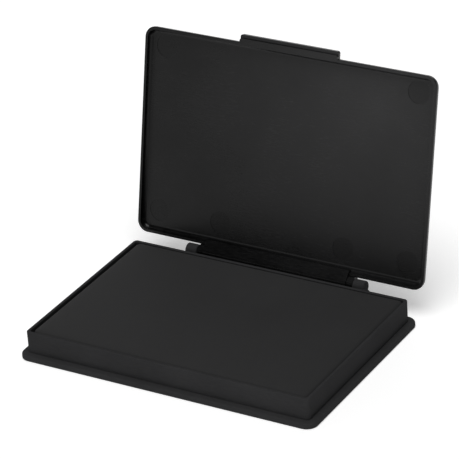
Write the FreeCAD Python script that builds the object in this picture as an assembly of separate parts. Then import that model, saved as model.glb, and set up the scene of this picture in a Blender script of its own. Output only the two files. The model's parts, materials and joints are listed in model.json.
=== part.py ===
"""Hinged stamp pad case: a tray with a cloth-covered ink pad and a lid that swings on a pin.

Units are millimetres. The origin is the centre of the tray's underside, +Z is up, +X is to the
right of a person who faces the pad, and +Y points back to the hinge. The lid is shown open,
leaning back on its stop.
"""
import FreeCAD, Part
import math
import os

V = FreeCAD.Vector

# ---- Tray: a walled block that stands on a thin flange ----
BASE_W = 120.0            # across the flange
BASE_D = 80.4             # front to back of the flange
FLANGE_T = 2.2
FLANGE_CORNER = 4.2       # plan radius of the flange corners
FLANGE_TOP_ROUND = 0.8
FLANGE_FOOT_ROUND = 0.4
BLOCK_INSET = 2.6         # flange that shows all round the block
BLOCK_TOP = 10.6          # top of the tray wall
BLOCK_CORNER = 1.5
WALL_T = 1.2
WALL_TOP_ROUND = 0.3
FLOOR_TOP = 3.4
FLOOR_UNDER = 1.8         # ceiling of the hollow under the floor
HOLLOW_MARGIN = 5.0       # flat ring that the tray stands on
RIB_T = 1.0
RIB_FOOT = 0.3            # ribs stop short of the table
RIBS_ACROSS = 5
RIBS_ALONG = 3

# ---- Hinge ----
PIVOT_Y = BASE_D / 2 + 2.4
PIVOT_Z = 8.5
OPEN_ANGLE = 102.7        # from closed to resting on the stop
PIN_R = 0.75
PIN_RUNNING_GAP = 0.05
PIN_END_CHAMFER = 0.15
PIN_RECESS = 0.8          # the pin goes in from the left and sits inside that ear
EAR_END_WALL = 1.0        # the right ear is closed, so its bore is blind
EAR_INNER_X = 32.8
EAR_T = 4.7
EAR_R = 2.4
EAR_WAIST_Z = 6.0
EAR_FOOT_TOP = 3.2
EAR_EDGE_ROUND = 0.5
RAIL_T = 2.5              # stop rail between the ears
STOP_GAP = 0.08

# ---- Lid, laid out closed: w is measured down from its outer face ----
LID_W = 120.2
LID_D = 79.15
LID_DEPTH = 3.6
LID_TOP_Z = 12.45
LID_PLATE_T = 1.1
LID_WALL_T = 1.1
LID_CORNER = 4.3
LID_OUTER_ROUND = 2.8
LID_INNER_ROUND = 1.7
LID_LIP_ROUND = 0.25
LID_BACK_Y = PIVOT_Y - 2.8
LEAF_HALF_W = 30.0
LEAF_RIDGE_V = 2.05       # thickness of the lid wall at the hinge leaf
BARREL_R = 2.35
WEB_R = 1.7               # thinner barrel and web between the leaf's ends and the ears
WEB_SETBACK = 1.0
BARREL_END_GAP = 0.3
TAB_HALF_W = 20.2
TAB_REACH = 2.75
TAB_STEP_REACH = 1.4
TAB_W_TOP = 1.3
TAB_W_STEP = 2.8
TAB_ROUND = 0.9
MARK_R = 4.3              # round ejector marks inside the lid
MARK_DEPTH = 0.12
MARK_X_OUTER = 52.0
MARK_X_INNER = 25.8
MARK_V_HINGE = 8.8
MARK_V_FREE = 72.0

# ---- Ink pad: felt on a board, wrapped in cloth, taped into the tray ----
PAD_W = 111.3
PAD_D = 72.6
PAD_SHIFT_X = 0.45        # the pad was stuck down a little to the right of the middle
PAD_TOP = 11.0
PAD_EDGE_ROUND = 1.8
PAD_CORNER = 1.6
CLOTH_T = 0.4
HEM_W = 6.0               # cloth folded under the board
BOARD_T = 1.2
TAPE_W = 15.0
TAPE_SPREAD = 34.0        # between the middles of the two strips
TAPE_END_GAP = 2.0


def save(shape, name):
    """Write one node and stop if it is not made of sound closed solids."""
    assert shape.isValid() and shape.Solids and shape.Volume > 0, name
    shape.exportStep("parts/" + name + ".step")
    print(name, len(shape.Solids), "solid(s)", round(shape.Volume, 1), "mm3")


def rounded_box(width, depth, z_low, z_high, corner, y_mid=0.0):
    """An upright box with rounded vertical edges, centred on x = 0 and y = y_mid."""
    box = Part.makeBox(width, depth, z_high - z_low, V(-width / 2, y_mid - depth / 2, z_low))
    upright = [e for e in box.Edges if abs(e.BoundBox.ZLength - (z_high - z_low)) < 1e-6]
    return box.makeFillet(corner, upright)


def round_level(shape, z, radius):
    """Round every edge that lies flat at height z."""
    level = [e for e in shape.Edges if abs(e.BoundBox.ZMin - z) + abs(e.BoundBox.ZMax - z) < 1e-5]
    return shape.makeFillet(radius, level)


def prism_x(points, x_low, x_high):
    """A prism along X from an outline of (y, z) points."""
    loop = [V(x_low, y, z) for y, z in points]
    face = Part.Face(Part.makePolygon(loop + loop[:1]))
    return face.extrude(V(x_high - x_low, 0, 0))


def rod_x(radius, x_low, x_high, y=PIVOT_Y, z=PIVOT_Z):
    """A cylinder along X, on the hinge axis unless told otherwise."""
    return Part.makeCylinder(radius, x_high - x_low, V(x_low, y, z), V(1, 0, 0))


def tray_underside():
    """The hollow under the floor, with the stiffening ribs left standing in it."""
    width = BASE_W - 2 * HOLLOW_MARGIN
    depth = BASE_D - 2 * HOLLOW_MARGIN
    hollow = rounded_box(width, depth, -1.0, FLOOR_UNDER, 2.0)
    rib_h = FLOOR_UNDER - RIB_FOOT
    ribs = []
    for i in range(RIBS_ACROSS):
        x = width * ((i + 1) / (RIBS_ACROSS + 1) - 0.5)
        ribs.append(Part.makeBox(RIB_T, depth, rib_h, V(x - RIB_T / 2, -depth / 2, RIB_FOOT)))
    for i in range(RIBS_ALONG):
        y = depth * ((i + 1) / (RIBS_ALONG + 1) - 0.5)
        ribs.append(Part.makeBox(width, RIB_T, rib_h, V(-width / 2, y - RIB_T / 2, RIB_FOOT)))
    return hollow.cut(ribs[0].multiFuse(ribs[1:]))


def ear(side):
    """A round-topped hinge ear on an arm from the back of the tray, bored for the pin."""
    x_low = EAR_INNER_X if side > 0 else -EAR_INNER_X - EAR_T
    x_high = x_low + EAR_T
    root_y = BASE_D / 2 - BLOCK_INSET - WALL_T / 2
    front_y = PIVOT_Y - EAR_R
    back_y = PIVOT_Y + EAR_R
    outline = [
        (root_y, 0), (back_y, 0), (back_y, PIVOT_Z), (front_y, PIVOT_Z),
        (front_y - 0.5, EAR_WAIST_Z), (front_y - 2.3, EAR_FOOT_TOP), (root_y, EAR_FOOT_TOP),
    ]
    body = prism_x(outline, x_low, x_high)
    knuckle = rod_x(EAR_R, x_low, x_high)
    rims = [e for e in knuckle.Edges if isinstance(e.Curve, Part.Circle)]
    knuckle = knuckle.makeFillet(EAR_EDGE_ROUND, rims)
    slim = prism_x(outline, x_low + EAR_EDGE_ROUND, x_high - EAR_EDGE_ROUND)
    low = body.common(Part.makeBox(BASE_W, BASE_D, PIVOT_Z - EAR_R, V(-BASE_W / 2, 0, 0)))
    return low.fuse([slim, knuckle]).removeSplitter()


def stop_rail():
    """The bar between the ears that the open lid leans on, and the shelf that carries it."""
    back_y = PIVOT_Y + EAR_R
    top_z = PIVOT_Z - BARREL_R - STOP_GAP
    half = EAR_INNER_X + 0.5
    root_y = BASE_D / 2 - BLOCK_INSET - WALL_T / 2
    outline = [
        (root_y, 0), (back_y, 0), (back_y, top_z), (back_y - RAIL_T, top_z),
        (back_y - RAIL_T, FLANGE_T), (root_y, FLANGE_T),
    ]
    return prism_x(outline, -half, half)


def base_tray():
    """Flange, walled block, ears and stop rail, moulded in one piece."""
    flange = rounded_box(BASE_W, BASE_D, 0.0, FLANGE_T, FLANGE_CORNER)
    flange = round_level(flange, FLANGE_T, FLANGE_TOP_ROUND)
    flange = round_level(flange, 0.0, FLANGE_FOOT_ROUND)
    block_w = BASE_W - 2 * BLOCK_INSET
    block_d = BASE_D - 2 * BLOCK_INSET
    block = rounded_box(block_w, block_d, 0.5, BLOCK_TOP, BLOCK_CORNER)
    pocket = rounded_box(block_w - 2 * WALL_T, block_d - 2 * WALL_T, FLOOR_TOP, BLOCK_TOP + 5, 0.8)
    block = round_level(block.cut(pocket), BLOCK_TOP, WALL_TOP_ROUND)
    tray = flange.fuse([block, ear(1), ear(-1), stop_rail()])
    tray = tray.cut([pocket, tray_underside()])
    pin_bore = rod_x(PIN_R, -EAR_INNER_X - EAR_T - 1, EAR_INNER_X + EAR_T - EAR_END_WALL)
    return tray.cut(pin_bore).removeSplitter()


def hinge_pin():
    """The steel wire pin, pressed into both ears from the left."""
    reach = EAR_INNER_X + EAR_T
    pin = rod_x(PIN_R, PIN_RECESS - reach, reach - EAR_END_WALL)
    rims = [e for e in pin.Edges if isinstance(e.Curve, Part.Circle)]
    return pin.makeChamfer(PIN_END_CHAMFER, rims)


def hinge_outline(root_y, root_z, radius):
    """The section of the lid's hinge from a root on its underside, round the pivot, to its heel."""
    tilt = math.radians(OPEN_ANGLE - 90.0)
    down = V(0, math.cos(tilt), math.sin(tilt))       # points down once the lid is open
    back = V(0, -math.sin(tilt), math.cos(tilt))      # points back once the lid is open
    centre = V(0, PIVOT_Y, PIVOT_Z)
    foot = centre + down * radius
    heel = foot + back * (radius - 0.1)
    reach = math.hypot(root_y - PIVOT_Y, root_z - PIVOT_Z)
    touch = math.atan2(root_z - PIVOT_Z, root_y - PIVOT_Y) + math.acos(radius / reach)
    front = V(0, PIVOT_Y + radius * math.cos(touch), PIVOT_Z + radius * math.sin(touch))
    top_z = LID_TOP_Z - 0.9
    return [
        (root_y, root_z), (front.y, front.z), (centre.y, centre.z), (foot.y, foot.z),
        (heel.y, heel.z), (LID_BACK_Y - 0.4, top_z), (root_y, top_z),
    ]


def hinge_leaf():
    """The block behind the lid that lands on the stop rail, and the thinner barrel at its ends."""
    lip_z = LID_TOP_Z - LID_DEPTH
    leaf_line = hinge_outline(LID_BACK_Y - LEAF_RIDGE_V, lip_z, BARREL_R)
    leaf = prism_x(leaf_line, -LEAF_HALF_W, LEAF_HALF_W)
    knuckle = rod_x(BARREL_R, -LEAF_HALF_W, LEAF_HALF_W)
    half = EAR_INNER_X - BARREL_END_GAP
    web_line = hinge_outline(LID_BACK_Y - LID_WALL_T / 2, lip_z + WEB_SETBACK, WEB_R)
    web = prism_x(web_line, -half, half)
    return leaf.fuse([knuckle, web, rod_x(WEB_R, -half, half)])


def finger_tab():
    """The stepped lip in the middle of the free edge that a finger lifts."""
    front_y = LID_BACK_Y - LID_D
    root_y = front_y + LID_WALL_T * 0.8
    steps = [
        (TAB_REACH, LID_TOP_Z - TAB_W_STEP, LID_TOP_Z - TAB_W_TOP),
        (TAB_STEP_REACH, LID_TOP_Z - LID_DEPTH, LID_TOP_Z - TAB_W_STEP),
    ]
    slabs = []
    for reach, z_low, z_high in steps:
        depth = reach + root_y - front_y
        slab = Part.makeBox(2 * TAB_HALF_W, depth, z_high - z_low, V(-TAB_HALF_W, front_y - reach, z_low))
        corners = [
            e for e in slab.Edges
            if e.BoundBox.ZLength > 0.5 and abs(e.BoundBox.YMin - (front_y - reach)) < 1e-6
        ]
        slabs.append(slab.makeFillet(TAB_ROUND, corners))
    tab = slabs[0].fuse(slabs[1])
    return round_level(tab, LID_TOP_Z - TAB_W_TOP, 0.3)


def ejector_marks():
    """Six shallow round witness marks on the inside of the lid."""
    plate_z = LID_TOP_Z - LID_PLATE_T
    spots = [(MARK_X_OUTER, MARK_V_FREE), (MARK_X_OUTER, MARK_V_HINGE), (MARK_X_INNER, MARK_V_HINGE)]
    marks = []
    for x, v in spots:
        for side in (-1, 1):
            base = V(side * x, LID_BACK_Y - v, plate_z - 1.0)
            marks.append(Part.makeCylinder(MARK_R, 1.0 + MARK_DEPTH, base))
    return marks


def lid():
    """The shallow lid with its hinge leaf and finger tab, swung open about the pin."""
    lip_z = LID_TOP_Z - LID_DEPTH
    mid_y = LID_BACK_Y - LID_D / 2
    outer = rounded_box(LID_W, LID_D, lip_z, LID_TOP_Z, LID_CORNER, mid_y)
    outer = round_level(outer, LID_TOP_Z, LID_OUTER_ROUND)
    outer = round_level(outer, lip_z, LID_LIP_ROUND)
    hollow = rounded_box(
        LID_W - 2 * LID_WALL_T, LID_D - 2 * LID_WALL_T, lip_z - 1.0, LID_TOP_Z - LID_PLATE_T,
        LID_CORNER - LID_WALL_T, mid_y,
    )
    hollow = round_level(hollow, LID_TOP_Z - LID_PLATE_T, LID_INNER_ROUND)
    shell = outer.cut(hollow).fuse([hinge_leaf(), finger_tab()])
    bore = rod_x(PIN_R + PIN_RUNNING_GAP, -EAR_INNER_X, EAR_INNER_X)
    shell = shell.cut([bore] + ejector_marks()).removeSplitter()
    shell.rotate(V(0, PIVOT_Y, PIVOT_Z), V(1, 0, 0), -OPEN_ANGLE)
    return shell


def pad_slab(grow, z_low, z_high):
    """A slab with the pad's outline, grown or shrunk by grow on every side."""
    corner = max(PAD_CORNER + grow, 1.0)
    slab = rounded_box(PAD_W + 2 * grow, PAD_D + 2 * grow, z_low, z_high, corner)
    slab.translate(V(PAD_SHIFT_X, 0, 0))
    return slab


def pad_cover():
    """The woven cloth, stretched over the felt and folded under the board."""
    outer = round_level(pad_slab(0.0, FLOOR_TOP, PAD_TOP), PAD_TOP, PAD_EDGE_ROUND)
    stack = pad_slab(-CLOTH_T, FLOOR_TOP + CLOTH_T, PAD_TOP - CLOTH_T)
    stack = round_level(stack, PAD_TOP - CLOTH_T, PAD_EDGE_ROUND - CLOTH_T)
    window = pad_slab(-HEM_W, FLOOR_TOP - 1.0, FLOOR_TOP + CLOTH_T + 0.1)
    return outer.cut([stack, window])


def pad_board():
    """The board that the cloth is drawn round."""
    low = FLOOR_TOP + CLOTH_T
    return pad_slab(-CLOTH_T, low, low + BOARD_T)


def pad_felt():
    """The felt that holds the ink."""
    top = PAD_TOP - CLOTH_T
    felt = pad_slab(-CLOTH_T, FLOOR_TOP + CLOTH_T + BOARD_T, top)
    return round_level(felt, top, PAD_EDGE_ROUND - CLOTH_T)


def mounting_tape():
    """Two strips of double-sided tape between the board and the tray floor."""
    length = PAD_W - 2 * HEM_W - 2 * TAPE_END_GAP
    strips = []
    for side in (-1, 1):
        corner = V(PAD_SHIFT_X - length / 2, side * TAPE_SPREAD / 2 - TAPE_W / 2, FLOOR_TOP)
        strips.append(Part.makeBox(length, TAPE_W, CLOTH_T, corner))
    return Part.makeCompound(strips)


os.makedirs("parts", exist_ok=True)
save(base_tray(), "base_tray")
save(hinge_pin(), "hinge_pin")
save(lid(), "lid")
save(pad_cover(), "pad_cover")
save(pad_felt(), "pad_felt")
save(pad_board(), "pad_board")
save(mounting_tape(), "mounting_tape")
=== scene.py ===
"""Looks for the hinged stamp pad case: moulded plastic on the CAD tray and lid, and a woven cloth
over a soft felt core in place of the plain CAD pad.

Units are metres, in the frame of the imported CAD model: the origin is the centre of the tray's
underside, +Z is up and +Y points back to the hinge.
"""
import json
import math

import bmesh
import bpy
from mathutils import Matrix, Vector, noise

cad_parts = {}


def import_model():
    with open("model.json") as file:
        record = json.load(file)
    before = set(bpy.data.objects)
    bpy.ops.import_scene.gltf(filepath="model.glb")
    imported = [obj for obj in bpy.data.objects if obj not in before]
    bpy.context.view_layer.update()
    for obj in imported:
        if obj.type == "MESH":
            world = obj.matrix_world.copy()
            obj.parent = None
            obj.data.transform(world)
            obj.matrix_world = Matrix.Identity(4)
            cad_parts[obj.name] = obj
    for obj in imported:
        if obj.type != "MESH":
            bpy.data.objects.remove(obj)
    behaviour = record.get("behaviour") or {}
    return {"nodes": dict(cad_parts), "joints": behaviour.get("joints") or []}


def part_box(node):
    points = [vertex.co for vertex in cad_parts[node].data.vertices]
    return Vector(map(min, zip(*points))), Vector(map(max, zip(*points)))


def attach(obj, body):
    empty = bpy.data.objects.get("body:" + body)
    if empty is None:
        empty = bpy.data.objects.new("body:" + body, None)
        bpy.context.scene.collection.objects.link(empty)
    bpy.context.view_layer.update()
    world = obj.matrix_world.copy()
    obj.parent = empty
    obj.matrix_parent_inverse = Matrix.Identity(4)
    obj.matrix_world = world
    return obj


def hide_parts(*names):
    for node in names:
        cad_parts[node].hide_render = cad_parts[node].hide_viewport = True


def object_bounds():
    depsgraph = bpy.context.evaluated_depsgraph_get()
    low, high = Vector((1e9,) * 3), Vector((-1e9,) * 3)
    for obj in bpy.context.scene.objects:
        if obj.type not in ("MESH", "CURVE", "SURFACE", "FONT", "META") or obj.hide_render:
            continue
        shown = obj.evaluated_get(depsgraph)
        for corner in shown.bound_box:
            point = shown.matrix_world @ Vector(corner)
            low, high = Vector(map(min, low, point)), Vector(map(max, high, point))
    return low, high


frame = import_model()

CAD_LOW, CAD_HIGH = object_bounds()
NODES = frame["nodes"]
MM = 0.001

# ---- Camera: a long lens, a little above the table, seen from the front right ----
SENSOR = 36.0
LENS = 237.0
CAM_AZIMUTH = 31.91
CAM_ELEVATION = 27.90
CAM_ROLL = -4.13
CAM_DISTANCE = 1.0598
CAM_TARGET = Vector((0.00632, 0.00236, 0.04559))
CAM_NEAR = 0.05
CAM_FAR = 20.0

# ---- Pad: felt on a board, with cloth drawn over it and hemmed underneath ----
CLOTH_T = 0.34 * MM
PAD_CORNER = 1.6 * MM
ROLL_W = 3.8 * MM             # soft roll along the pad's top edges
ROLL_DROP = 0.30 * MM
SIDE_BOW = 0.12 * MM          # how far each side is pulled in at its middle
HEM_W = 6.0 * MM
GRID_STEP = 1.6 * MM
FELT_STEP = 1.5 * GRID_STEP
FELT_UNEVEN = 0.03 * MM
FELT_WAVES = 90.0             # per metre
CLOTH_UNEVEN = 0.02 * MM
CLOTH_WAVES = 60.0            # per metre
THREAD_PITCH = 0.42 * MM
THREAD_WANDER = 0.5 * MM      # how far a thread strays from a straight line
SIM_SCALE = 10.0              # the cloth solver works on a larger copy
SIM_FRAMES = 20
SIM_PRESSURE = 4.0
SWELL_CAP = 0.22 * MM         # most that the cloth may rise off the felt

# ---- Plastic: waves per metre of each pattern, and the grey that wear and the painted light patch bring out ----
FLOW_ALONG = 380.0
FLOW_ACROSS = 2200.0
CLOUD_WAVES = 38.0
GRAIN_WAVES = 4200.0
SCUFF_ALONG = 160.0
SCUFF_ACROSS = 1400.0
WEAR_WAVES = 260.0
WORN_EDGE_R = 0.3 * MM
WEAR_AND_PAINTED_LIGHT_GREY = 0.030
GRAIN_DEPTH = 0.02 * MM

# ---- Light ----
SUN_POWER = 2.1
SUN_SPREAD = 44.0             # degrees across
SUN_FROM = (0.12, -0.26, 0.96)
FLOOR_GLOW = 0.38             # the floor is a lit table, so it also gives light
FLOOR_GREY = 0.90
FLOOR_HALF = 6.0
FLOOR_GAP = 0.02 * MM         # under the tray, so that the two faces don't flicker
BAND_GREY = 1.0
CEILING_GREY = 0.01
CARD_GREY = 0.02              # a black card stands to the right
BACKDROP_GREY = 0.7           # the backdrop rises high behind the object

# ---- Where each part of the surroundings fades, as a part of the unit view direction ----
BAND_FADE = (0.22, 0.50)      # upwards
BACKDROP_FADE = (0.35, 0.75)  # towards the back
CARD_FADE = (-0.20, 0.25)     # towards the right

# ---- Inner face of the open lid ----
HINGE = frame["joints"][0]
PIVOT = Vector(HINGE["pos_m"])
LEAN = math.radians(HINGE["range_deg"][1] - 90)
LID_UP = Vector((0, math.sin(LEAN), math.cos(LEAN)))
LID_FRONT = Vector((0, -math.cos(LEAN), math.sin(LEAN)))
LID_BACK = 2.8 * MM           # from the pivot to the lid's back edge
LID_FACE = 2.85 * MM          # from the pivot to the lid's inner face
MARK_R = 4.3 * MM
MARK_BELOW = (0.6 * MM, 0.4 * MM)    # a disc fades out between these depths under the inner face
# Painted highlight: a paler patch centred here on the lid's inner face stands for brighter light
# falling on its upper right.
PAINTED_LIGHT_AT = (36.0 * MM, 66.0 * MM)
PAINTED_LIGHT_R = 80.0 * MM         # how far the paler patch of painted light reaches
MARKS = (
    (-52.0 * MM, 72.0 * MM), (52.0 * MM, 72.0 * MM),
    (-52.0 * MM, 8.8 * MM), (52.0 * MM, 8.8 * MM),
    (-25.8 * MM, 8.8 * MM), (25.8 * MM, 8.8 * MM),
)


# ---------------------------------------------------------------- materials

class Tree:
    """A small helper that builds one node material."""

    def __init__(self, name):
        self.material = bpy.data.materials.new(name)
        self.material.use_nodes = True
        self.nodes = self.material.node_tree.nodes
        self.links = self.material.node_tree.links
        self.nodes.clear()
        self.out = self.nodes.new("ShaderNodeOutputMaterial")
        self.shader = self.nodes.new("ShaderNodeBsdfPrincipled")
        self.links.new(self.shader.outputs["BSDF"], self.out.inputs["Surface"])
        self.place = self.add("ShaderNodeTexCoord").outputs["Object"]

    def add(self, kind, settings=None, inputs=None):
        node = self.nodes.new(kind)
        for key, value in (settings or {}).items():
            setattr(node, key, value)
        for key, value in (inputs or {}).items():
            self.feed(value, node.inputs[key])
        return node

    def feed(self, value, socket):
        if isinstance(value, bpy.types.NodeSocket):
            self.links.new(value, socket)
        else:
            socket.default_value = value

    def math(self, operation, a, b=0.0, clamp=False):
        node = self.add("ShaderNodeMath", {"operation": operation, "use_clamp": clamp})
        self.feed(a, node.inputs[0])
        self.feed(b, node.inputs[1])
        return node.outputs[0]

    def scaled(self, scale):
        """Object coordinates in units of 1 / scale."""
        node = self.add("ShaderNodeMapping", None, {"Vector": self.place, "Scale": scale})
        return node.outputs["Vector"]

    def noise(self, scale, detail=3.0, rough=0.5, vector=None):
        """Smooth noise from 0 to 1. Scale is in waves per metre."""
        node = self.add("ShaderNodeTexNoise", None, {
            "Vector": vector or self.place, "Scale": scale, "Detail": detail, "Roughness": rough,
        })
        return node.outputs["Fac"]

    def ramp(self, value, low, high, to_low=0.0, to_high=1.0):
        node = self.add("ShaderNodeMapRange", {"clamp": True}, {
            "Value": value, "From Min": low, "From Max": high, "To Min": to_low, "To Max": to_high,
        })
        return node.outputs["Result"]

    def mix(self, factor, a, b):
        """A colour between a and b."""
        node = self.add("ShaderNodeMix", {"data_type": "RGBA"})
        self.feed(factor, node.inputs["Factor"])
        self.feed(a, node.inputs[6])
        self.feed(b, node.inputs[7])
        return node.outputs[2]

    def measure(self, operation, a, b):
        """One number from two vectors, such as their distance or their dot product."""
        node = self.add("ShaderNodeVectorMath", {"operation": operation})
        self.feed(a, node.inputs[0])
        self.feed(b, node.inputs[1])
        return node.outputs["Value"]

    def bump(self, height, distance, strength):
        node = self.add("ShaderNodeBump", None, {
            "Height": height, "Distance": distance, "Strength": strength,
        })
        return node.outputs["Normal"]


def grey(value, blue=0.0):
    return (value, value, value * (1 + blue), 1.0)


def worn_edges(t):
    """1 where an edge is sharp and worn by rubbing, in patches, and 0 elsewhere."""
    bevel = t.add("ShaderNodeBevel", {"samples": 4}, {"Radius": WORN_EDGE_R})
    geometry = t.add("ShaderNodeNewGeometry")
    facing = t.measure("DOT_PRODUCT", bevel.outputs["Normal"], geometry.outputs["Normal"])
    patches = t.ramp(t.noise(WEAR_WAVES, 3.0, 0.6), 0.42, 0.68)
    return t.math("MULTIPLY", t.ramp(facing, 0.99, 0.90), patches, clamp=True)


def ejector_discs(t, centres):
    """1 on the discs that the ejector pins left on the lid's inner face, and 0 elsewhere."""
    disc = 0.0
    for centre in centres:
        gap = t.measure("DISTANCE", t.place, centre)
        disc = t.math("MAXIMUM", disc, t.ramp(gap, MARK_R * 1.02, MARK_R * 0.97))
    level = LID_FRONT.dot(Vector(centres[0]))
    depth = t.measure("DOT_PRODUCT", t.place, LID_FRONT)
    on_inner_face = t.ramp(depth, level - MARK_BELOW[0], level - MARK_BELOW[1])
    return t.math("MULTIPLY", disc, on_inner_face)


def plastic(name, dark, light, rough, shine_level, marks=(), painted_light_spot=None):
    """Black moulded plastic: fine erosion grain, faint flow lines along X, scuffs, paler worn edges
    and, on the lid, the discs left by the ejector pins and a paler patch of painted light round a
    given spot."""
    t = Tree(name)
    flow = t.noise(1.0, 3.0, 0.65, t.scaled((FLOW_ALONG, FLOW_ACROSS, FLOW_ACROSS)))
    cloud = t.noise(CLOUD_WAVES, 3.0, 0.55)
    grain = t.noise(GRAIN_WAVES, 2.0, 0.6)
    rubbing = t.noise(1.0, 4.0, 0.7, t.scaled((SCUFF_ALONG, SCUFF_ACROSS, SCUFF_ACROSS)))
    scuff = t.ramp(rubbing, 0.64, 0.78)

    tone = t.math("ADD", t.math("MULTIPLY", cloud, 0.5), t.math("MULTIPLY", flow, 0.5))
    base = t.mix(t.ramp(tone, 0.38, 0.62), grey(dark, 0.03), grey(light, 0.03))
    base = t.mix(t.math("MULTIPLY", worn_edges(t), 0.5), base, grey(WEAR_AND_PAINTED_LIGHT_GREY, 0.02))
    # Painted highlight: base colour turns paler round the given spot, standing for brighter light
    # falling there.
    if painted_light_spot is not None:
        nearness = t.ramp(t.measure("DISTANCE", t.place, painted_light_spot), PAINTED_LIGHT_R, 0.0)
        painted_light_patch = t.math("MULTIPLY", nearness, t.ramp(cloud, 0.2, 0.8, 0.6, 1.0))
        base = t.mix(painted_light_patch, base, grey(WEAR_AND_PAINTED_LIGHT_GREY, 0.02))

    shine = t.ramp(flow, 0.25, 0.75, rough - 0.035, rough + 0.035)
    shine = t.math("ADD", shine, t.math("MULTIPLY", t.math("SUBTRACT", cloud, 0.5), 0.16))
    shine = t.math("ADD", shine, t.math("MULTIPLY", scuff, 0.08))
    if marks:
        disc = ejector_discs(t, marks)
        base = t.mix(t.math("MULTIPLY", disc, 0.3), base, grey(dark * 0.2))
        shine = t.math("ADD", shine, t.math("MULTIPLY", disc, 0.04))
    t.feed(base, t.shader.inputs["Base Color"])
    t.feed(t.math("ADD", shine, 0.0, clamp=True), t.shader.inputs["Roughness"])
    t.shader.inputs["Specular IOR Level"].default_value = shine_level

    height = t.math("ADD", t.math("MULTIPLY", grain, 0.5), t.math("MULTIPLY", flow, 0.5))
    t.feed(t.bump(height, GRAIN_DEPTH, 0.35), t.shader.inputs["Normal"])
    return t.material


def steel():
    """Blackened drawn wire: fine lines along the pin and a few bright rubs."""
    t = Tree("pin_steel")
    drawn = t.noise(1.0, 3.0, 0.6, t.scaled((120.0, 9000.0, 9000.0)))
    rub = t.ramp(t.noise(700.0, 2.0, 0.6), 0.55, 0.72)
    base = t.mix(rub, grey(0.045, 0.04), grey(0.22, 0.03))
    t.feed(base, t.shader.inputs["Base Color"])
    t.shader.inputs["Metallic"].default_value = 1.0
    t.feed(t.ramp(drawn, 0.2, 0.8, 0.28, 0.5), t.shader.inputs["Roughness"])
    t.feed(t.bump(drawn, 0.01 * MM, 0.5), t.shader.inputs["Normal"])
    return t.material


def woven_cloth():
    """Fine plain weave soaked with black ink: threads over and under with painted shade between
    them, slubs and ink clouds.
    """
    t = Tree("pad_cloth")
    split = t.add("ShaderNodeSeparateXYZ", None, {"Vector": t.place})
    wander = t.math("MULTIPLY", t.math("SUBTRACT", t.noise(60.0, 2.0), 0.5), THREAD_WANDER)
    turns = math.pi / THREAD_PITCH
    across = t.math("MULTIPLY", t.math("ADD", split.outputs["X"], wander), turns)
    along = t.math("MULTIPLY", t.math("ADD", split.outputs["Y"], wander), turns)
    warp = t.math("ABSOLUTE", t.math("SINE", across))
    weft = t.math("ABSOLUTE", t.math("SINE", along))
    over = t.math("MULTIPLY", t.math("SINE", t.math("MULTIPLY", across, 0.5)),
                  t.math("SINE", t.math("MULTIPLY", along, 0.5)))
    side = t.ramp(over, -0.25, 0.25)
    height = t.math("ADD", t.math("MULTIPLY", warp, side),
                    t.math("MULTIPLY", weft, t.math("SUBTRACT", 1.0, side)))
    slub = t.noise(1.0, 2.0, 0.6, t.scaled((2400.0, 220.0, 800.0)))
    cloud = t.noise(38.0, 4.0, 0.55)
    fuzz = t.noise(4200.0, 2.0, 0.7)

    tone = t.math("ADD", t.math("MULTIPLY", cloud, 0.6), t.math("MULTIPLY", slub, 0.4))
    base = t.mix(t.ramp(tone, 0.3, 0.7), grey(0.019, 0.02), grey(0.026, 0.02))
    # Painted shade: the low places between the threads are darkened in the base colour.
    gap = t.math("MULTIPLY", t.ramp(height, 0.45, 0.05), 0.5)
    base = t.mix(gap, base, grey(0.006))
    t.feed(base, t.shader.inputs["Base Color"])
    t.feed(t.ramp(t.math("ADD", cloud, t.math("MULTIPLY", fuzz, 0.3)), 0.3, 0.9, 0.78, 0.94),
           t.shader.inputs["Roughness"])
    t.shader.inputs["Specular IOR Level"].default_value = 0.3
    t.shader.inputs["Sheen Weight"].default_value = 0.03
    t.shader.inputs["Sheen Roughness"].default_value = 0.5
    t.shader.inputs["Sheen Tint"].default_value = grey(0.6)
    rise = t.math("ADD", t.math("MULTIPLY", height, 0.8), t.math("MULTIPLY", fuzz, 0.2))
    t.feed(t.bump(rise, 0.05 * MM, 0.45), t.shader.inputs["Normal"])
    return t.material


def felt():
    """Dense felt, black with ink."""
    t = Tree("felt")
    fibre = t.noise(1.0, 4.0, 0.7, t.scaled((1500.0, 900.0, 2600.0)))
    cloud = t.noise(60.0, 3.0)
    t.feed(t.mix(t.ramp(cloud, 0.35, 0.65), grey(0.016, 0.05), grey(0.026, 0.05)),
           t.shader.inputs["Base Color"])
    t.feed(t.ramp(fibre, 0.3, 0.7, 0.85, 1.0), t.shader.inputs["Roughness"])
    t.shader.inputs["Sheen Weight"].default_value = 0.1
    t.feed(t.bump(fibre, 0.15 * MM, 0.7), t.shader.inputs["Normal"])
    return t.material


def board():
    """Dense grey board with a fibrous cut edge and ink soaked into patches."""
    t = Tree("board")
    fibre = t.noise(1.0, 4.0, 0.65, t.scaled((500.0, 500.0, 5000.0)))
    soak = t.ramp(t.noise(70.0, 4.0, 0.6), 0.48, 0.60)
    base = t.mix(fibre, (0.13, 0.12, 0.10, 1), (0.20, 0.185, 0.16, 1))
    t.feed(t.mix(soak, base, grey(0.03)), t.shader.inputs["Base Color"])
    t.feed(t.ramp(fibre, 0.3, 0.7, 0.75, 0.95), t.shader.inputs["Roughness"])
    t.feed(t.bump(fibre, 0.05 * MM, 0.6), t.shader.inputs["Normal"])
    return t.material


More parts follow.
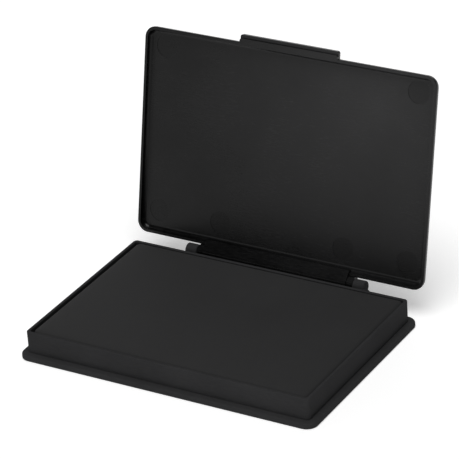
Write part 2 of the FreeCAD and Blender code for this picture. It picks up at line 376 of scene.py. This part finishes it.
def tape():
    """Double-sided tissue tape."""
    t = Tree("tape")
    tissue = t.noise(1.0, 3.0, 0.6, t.scaled((2600.0, 700.0, 2600.0)))
    base = t.mix(tissue, (0.74, 0.72, 0.66, 1), (0.86, 0.85, 0.80, 1))
    t.feed(base, t.shader.inputs["Base Color"])
    t.feed(t.ramp(tissue, 0.3, 0.7, 0.35, 0.6), t.shader.inputs["Roughness"])
    t.feed(t.bump(tissue, 0.03 * MM, 0.5), t.shader.inputs["Normal"])
    return t.material


def wear(obj, material):
    obj.data.materials.clear()
    obj.data.materials.append(material)


# ---------------------------------------------------------------- pad

def box_grid(name, low, high, step):
    """A closed box whose sides are grids of near-square faces about one step wide."""
    size = high - low
    counts = [max(2, round(length / step)) for length in size]
    mesh = bmesh.new()
    found = {}

    def corner(*place):
        if place not in found:
            share = [place[i] / counts[i] for i in range(3)]
            found[place] = mesh.verts.new([low[i] + share[i] * size[i] for i in range(3)])
        return found[place]

    for axis in range(3):
        across, along = (axis + 1) % 3, (axis + 2) % 3
        for end in (0, counts[axis]):
            for a in range(counts[across]):
                for b in range(counts[along]):
                    quad = []
                    for da, db in ((0, 0), (1, 0), (1, 1), (0, 1)):
                        place = [0, 0, 0]
                        place[axis], place[across], place[along] = end, a + da, b + db
                        quad.append(corner(*place))
                    mesh.faces.new(quad if end else reversed(quad))
    data = bpy.data.meshes.new(name)
    mesh.to_mesh(data)
    mesh.free()
    obj = bpy.data.objects.new(name, data)
    bpy.context.scene.collection.objects.link(obj)
    return obj


def soften(obj, low, high):
    """Rounds the upright corners of a pad-shaped box, rolls its top edges down and pulls its
    four sides in a little between the corners."""
    middle, half = (low + high) / 2, (high - low) / 2
    for vertex in obj.data.vertices:
        p = vertex.co - middle
        inset = min(half.x - abs(p.x), half.y - abs(p.y))
        lift = (p.z + half.z) / (2 * half.z)
        roll = ROLL_DROP * max(0.0, 1 - inset / ROLL_W) ** 2
        p.z -= roll * lift
        over_x = abs(p.x) - (half.x - PAD_CORNER)
        over_y = abs(p.y) - (half.y - PAD_CORNER)
        if over_x > 0 and over_y > 0:
            scale = max(over_x, over_y) / math.hypot(over_x, over_y)
            p.x = math.copysign(half.x - PAD_CORNER + over_x * scale, p.x)
            p.y = math.copysign(half.y - PAD_CORNER + over_y * scale, p.y)
        bow = SIDE_BOW * math.sin(math.pi * lift)
        p.y *= 1 - bow / half.y * math.cos(math.pi * p.x / (2 * half.x))
        p.x *= 1 - bow / half.x * math.cos(math.pi * p.y / (2 * half.y))
        vertex.co = middle + p


def press_out(obj, floor_z):
    """Blows the closed cloth up a little with Blender's cloth solver, with its underside held, and
    lets no point move further than the cap."""
    start = [v.co.copy() for v in obj.data.vertices]
    held = obj.vertex_groups.new(name="held")
    held.add([v.index for v in obj.data.vertices if v.co.z < floor_z + GRID_STEP / 2], 1.0, "ADD")
    obj.data.transform(Matrix.Scale(SIM_SCALE, 4))
    cloth = obj.modifiers.new("cloth", "CLOTH")
    cloth.settings.quality = 5
    cloth.settings.use_pressure = True
    cloth.settings.uniform_pressure_force = SIM_PRESSURE
    cloth.settings.vertex_group_mass = "held"
    cloth.settings.effector_weights.gravity = 0.0
    cloth.collision_settings.use_collision = False
    scene = bpy.context.scene
    cloth.point_cache.frame_start = 1
    cloth.point_cache.frame_end = SIM_FRAMES
    for number in range(1, SIM_FRAMES + 1):
        scene.frame_set(number)
    solved = obj.evaluated_get(bpy.context.evaluated_depsgraph_get())
    ends = [v.co / SIM_SCALE for v in solved.data.vertices]
    obj.modifiers.remove(cloth)
    scene.frame_set(1)
    obj.data.transform(Matrix.Scale(1 / SIM_SCALE, 4))
    reach = max((end - first).length for first, end in zip(start, ends))
    share = min(1.0, SWELL_CAP / max(reach, 1e-9))
    for vertex, first, end in zip(obj.data.vertices, start, ends):
        vertex.co = first + (end - first) * share


def roughen(obj, amount, waves):
    """Slight unevenness of a stuffed surface, from smooth noise."""
    for vertex in obj.data.vertices:
        vertex.co.z += amount * noise.noise(vertex.co * waves)


def smooth(obj):
    for polygon in obj.data.polygons:
        polygon.use_smooth = True


def open_underside(obj, low, high):
    """Leaves only a hem of the cloth under the board."""
    mesh = bmesh.new()
    mesh.from_mesh(obj.data)
    inner = [
        f for f in mesh.faces
        if f.normal.z < -0.9
        and min(f.calc_center_median().x - low.x, high.x - f.calc_center_median().x) > HEM_W
        and min(f.calc_center_median().y - low.y, high.y - f.calc_center_median().y) > HEM_W
    ]
    bmesh.ops.delete(mesh, geom=inner, context="FACES")
    mesh.to_mesh(obj.data)
    mesh.free()


def pad_pieces():
    low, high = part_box("pad_felt")
    low, high = Vector(low), Vector(high)
    body = box_grid("pad_felt_body", low, high, FELT_STEP)
    soften(body, low, high)
    roughen(body, FELT_UNEVEN, FELT_WAVES)
    smooth(body)
    rounding = body.modifiers.new("round", "SUBSURF")
    rounding.levels = rounding.render_levels = 1
    wear(body, felt())
    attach(body, "tray")
    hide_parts("pad_felt")

    low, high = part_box("pad_cover")
    low, high = Vector(low), Vector(high)
    high.z -= SWELL_CAP
    cloth = box_grid("pad_cloth_cover", low, high, GRID_STEP)
    soften(cloth, low, high)
    press_out(cloth, low.z)
    roughen(cloth, CLOTH_UNEVEN, CLOTH_WAVES)
    open_underside(cloth, low, high)
    smooth(cloth)
    rounding = cloth.modifiers.new("round", "SUBSURF")
    rounding.levels = rounding.render_levels = 1
    thick = cloth.modifiers.new("thickness", "SOLIDIFY")
    thick.thickness = CLOTH_T
    thick.offset = -1.0
    wear(cloth, woven_cloth())
    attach(cloth, "tray")
    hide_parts("pad_cover")


def lid_point(x, v):
    """The point of the open lid's inner face at x, v up from its back edge."""
    return PIVOT + Vector((x, 0, 0)) + LID_UP * (LID_BACK + v) - LID_FRONT * LID_FACE


wear(NODES["base_tray"], plastic(
    "tray_plastic", dark=0.030, light=0.038, rough=0.60, shine_level=0.004,
))
wear(NODES["lid"], plastic(
    "lid_plastic", dark=0.001, light=0.006, rough=0.25, shine_level=0.20,
    marks=[tuple(lid_point(x, v)) for x, v in MARKS], painted_light_spot=tuple(lid_point(*PAINTED_LIGHT_AT)),
))
wear(NODES["hinge_pin"], steel())
wear(NODES["pad_board"], board())
wear(NODES["mounting_tape"], tape())
pad_pieces()


# ---------------------------------------------------------------- studio

def camera():
    azimuth, elevation, roll = (math.radians(v) for v in (CAM_AZIMUTH, CAM_ELEVATION, CAM_ROLL))
    back = Vector((
        math.sin(azimuth) * math.cos(elevation),
        -math.cos(azimuth) * math.cos(elevation),
        math.sin(elevation),
    ))
    right = Vector((math.cos(azimuth), math.sin(azimuth), 0.0))
    up = back.cross(right)
    right, up = (
        right * math.cos(roll) + up * math.sin(roll),
        up * math.cos(roll) - right * math.sin(roll),
    )
    data = bpy.data.cameras.new("camera")
    data.sensor_width = SENSOR
    data.lens = LENS
    data.clip_start = CAM_NEAR
    data.clip_end = CAM_FAR
    obj = bpy.data.objects.new("camera", data)
    bpy.context.scene.collection.objects.link(obj)
    turn = Matrix((right, up, back)).transposed().to_4x4()
    obj.matrix_world = Matrix.Translation(CAM_TARGET + back * CAM_DISTANCE) @ turn
    bpy.context.scene.camera = obj


def floor():
    data = bpy.data.meshes.new("floor")
    signs = ((-1, -1), (1, -1), (1, 1), (-1, 1))
    corners = [(FLOOR_HALF * x, FLOOR_HALF * y, 0) for x, y in signs]
    data.from_pydata(corners, [], [(0, 1, 2, 3)])
    obj = bpy.data.objects.new("floor", data)
    bpy.context.scene.collection.objects.link(obj)
    obj.location.z = CAD_LOW.z - FLOOR_GAP
    t = Tree("floor_paper")
    t.shader.inputs["Base Color"].default_value = grey(FLOOR_GREY)
    t.shader.inputs["Roughness"].default_value = 0.95
    t.shader.inputs["Specular IOR Level"].default_value = 0.1
    t.shader.inputs["Emission Color"].default_value = grey(1.0)
    t.shader.inputs["Emission Strength"].default_value = FLOOR_GLOW
    wear(obj, t.material)


def overhead():
    """A very wide, soft light from above, in front and a little to the right."""
    data = bpy.data.lights.new("overhead", "SUN")
    data.energy = SUN_POWER
    data.angle = math.radians(SUN_SPREAD)
    obj = bpy.data.objects.new("overhead", data)
    bpy.context.scene.collection.objects.link(obj)
    obj.rotation_euler = (-Vector(SUN_FROM)).to_track_quat("-Z", "Y").to_euler()


def world():
    """A bright band round the horizon and a tall backdrop behind, under a dark ceiling, with a
    black card to the right."""
    sky = bpy.data.worlds.new("studio")
    bpy.context.scene.world = sky
    sky.use_nodes = True
    nodes, links = sky.node_tree.nodes, sky.node_tree.links
    split = nodes.new("ShaderNodeSeparateXYZ")
    links.new(nodes.new("ShaderNodeTexCoord").outputs["Generated"], split.inputs["Vector"])

    def fade(axis, limits, first, last):
        """A smooth change from first to last as one part of the view direction grows."""
        node = nodes.new("ShaderNodeMapRange")
        node.interpolation_type = "SMOOTHSTEP"
        links.new(split.outputs[axis], node.inputs["Value"])
        for name, value in zip(("From Min", "From Max", "To Min", "To Max"), (*limits, first, last)):
            node.inputs[name].default_value = value
        return node.outputs["Result"]

    def combine(operation, one, other):
        node = nodes.new("ShaderNodeMath")
        node.operation = operation
        links.new(one, node.inputs[0])
        links.new(other, node.inputs[1])
        return node.outputs[0]

    band = fade("Z", BAND_FADE, BAND_GREY, CEILING_GREY)
    backdrop = fade("Y", BACKDROP_FADE, 0.0, BACKDROP_GREY)
    card = fade("X", CARD_FADE, 1.0, CARD_GREY)
    strength = combine("MULTIPLY", combine("MAXIMUM", band, backdrop), card)
    background = nodes["Background"]
    background.inputs["Color"].default_value = grey(1.0)
    links.new(strength, background.inputs["Strength"])


camera()
floor()
overhead()
world()
bpy.context.scene.view_settings.view_transform = "Standard"
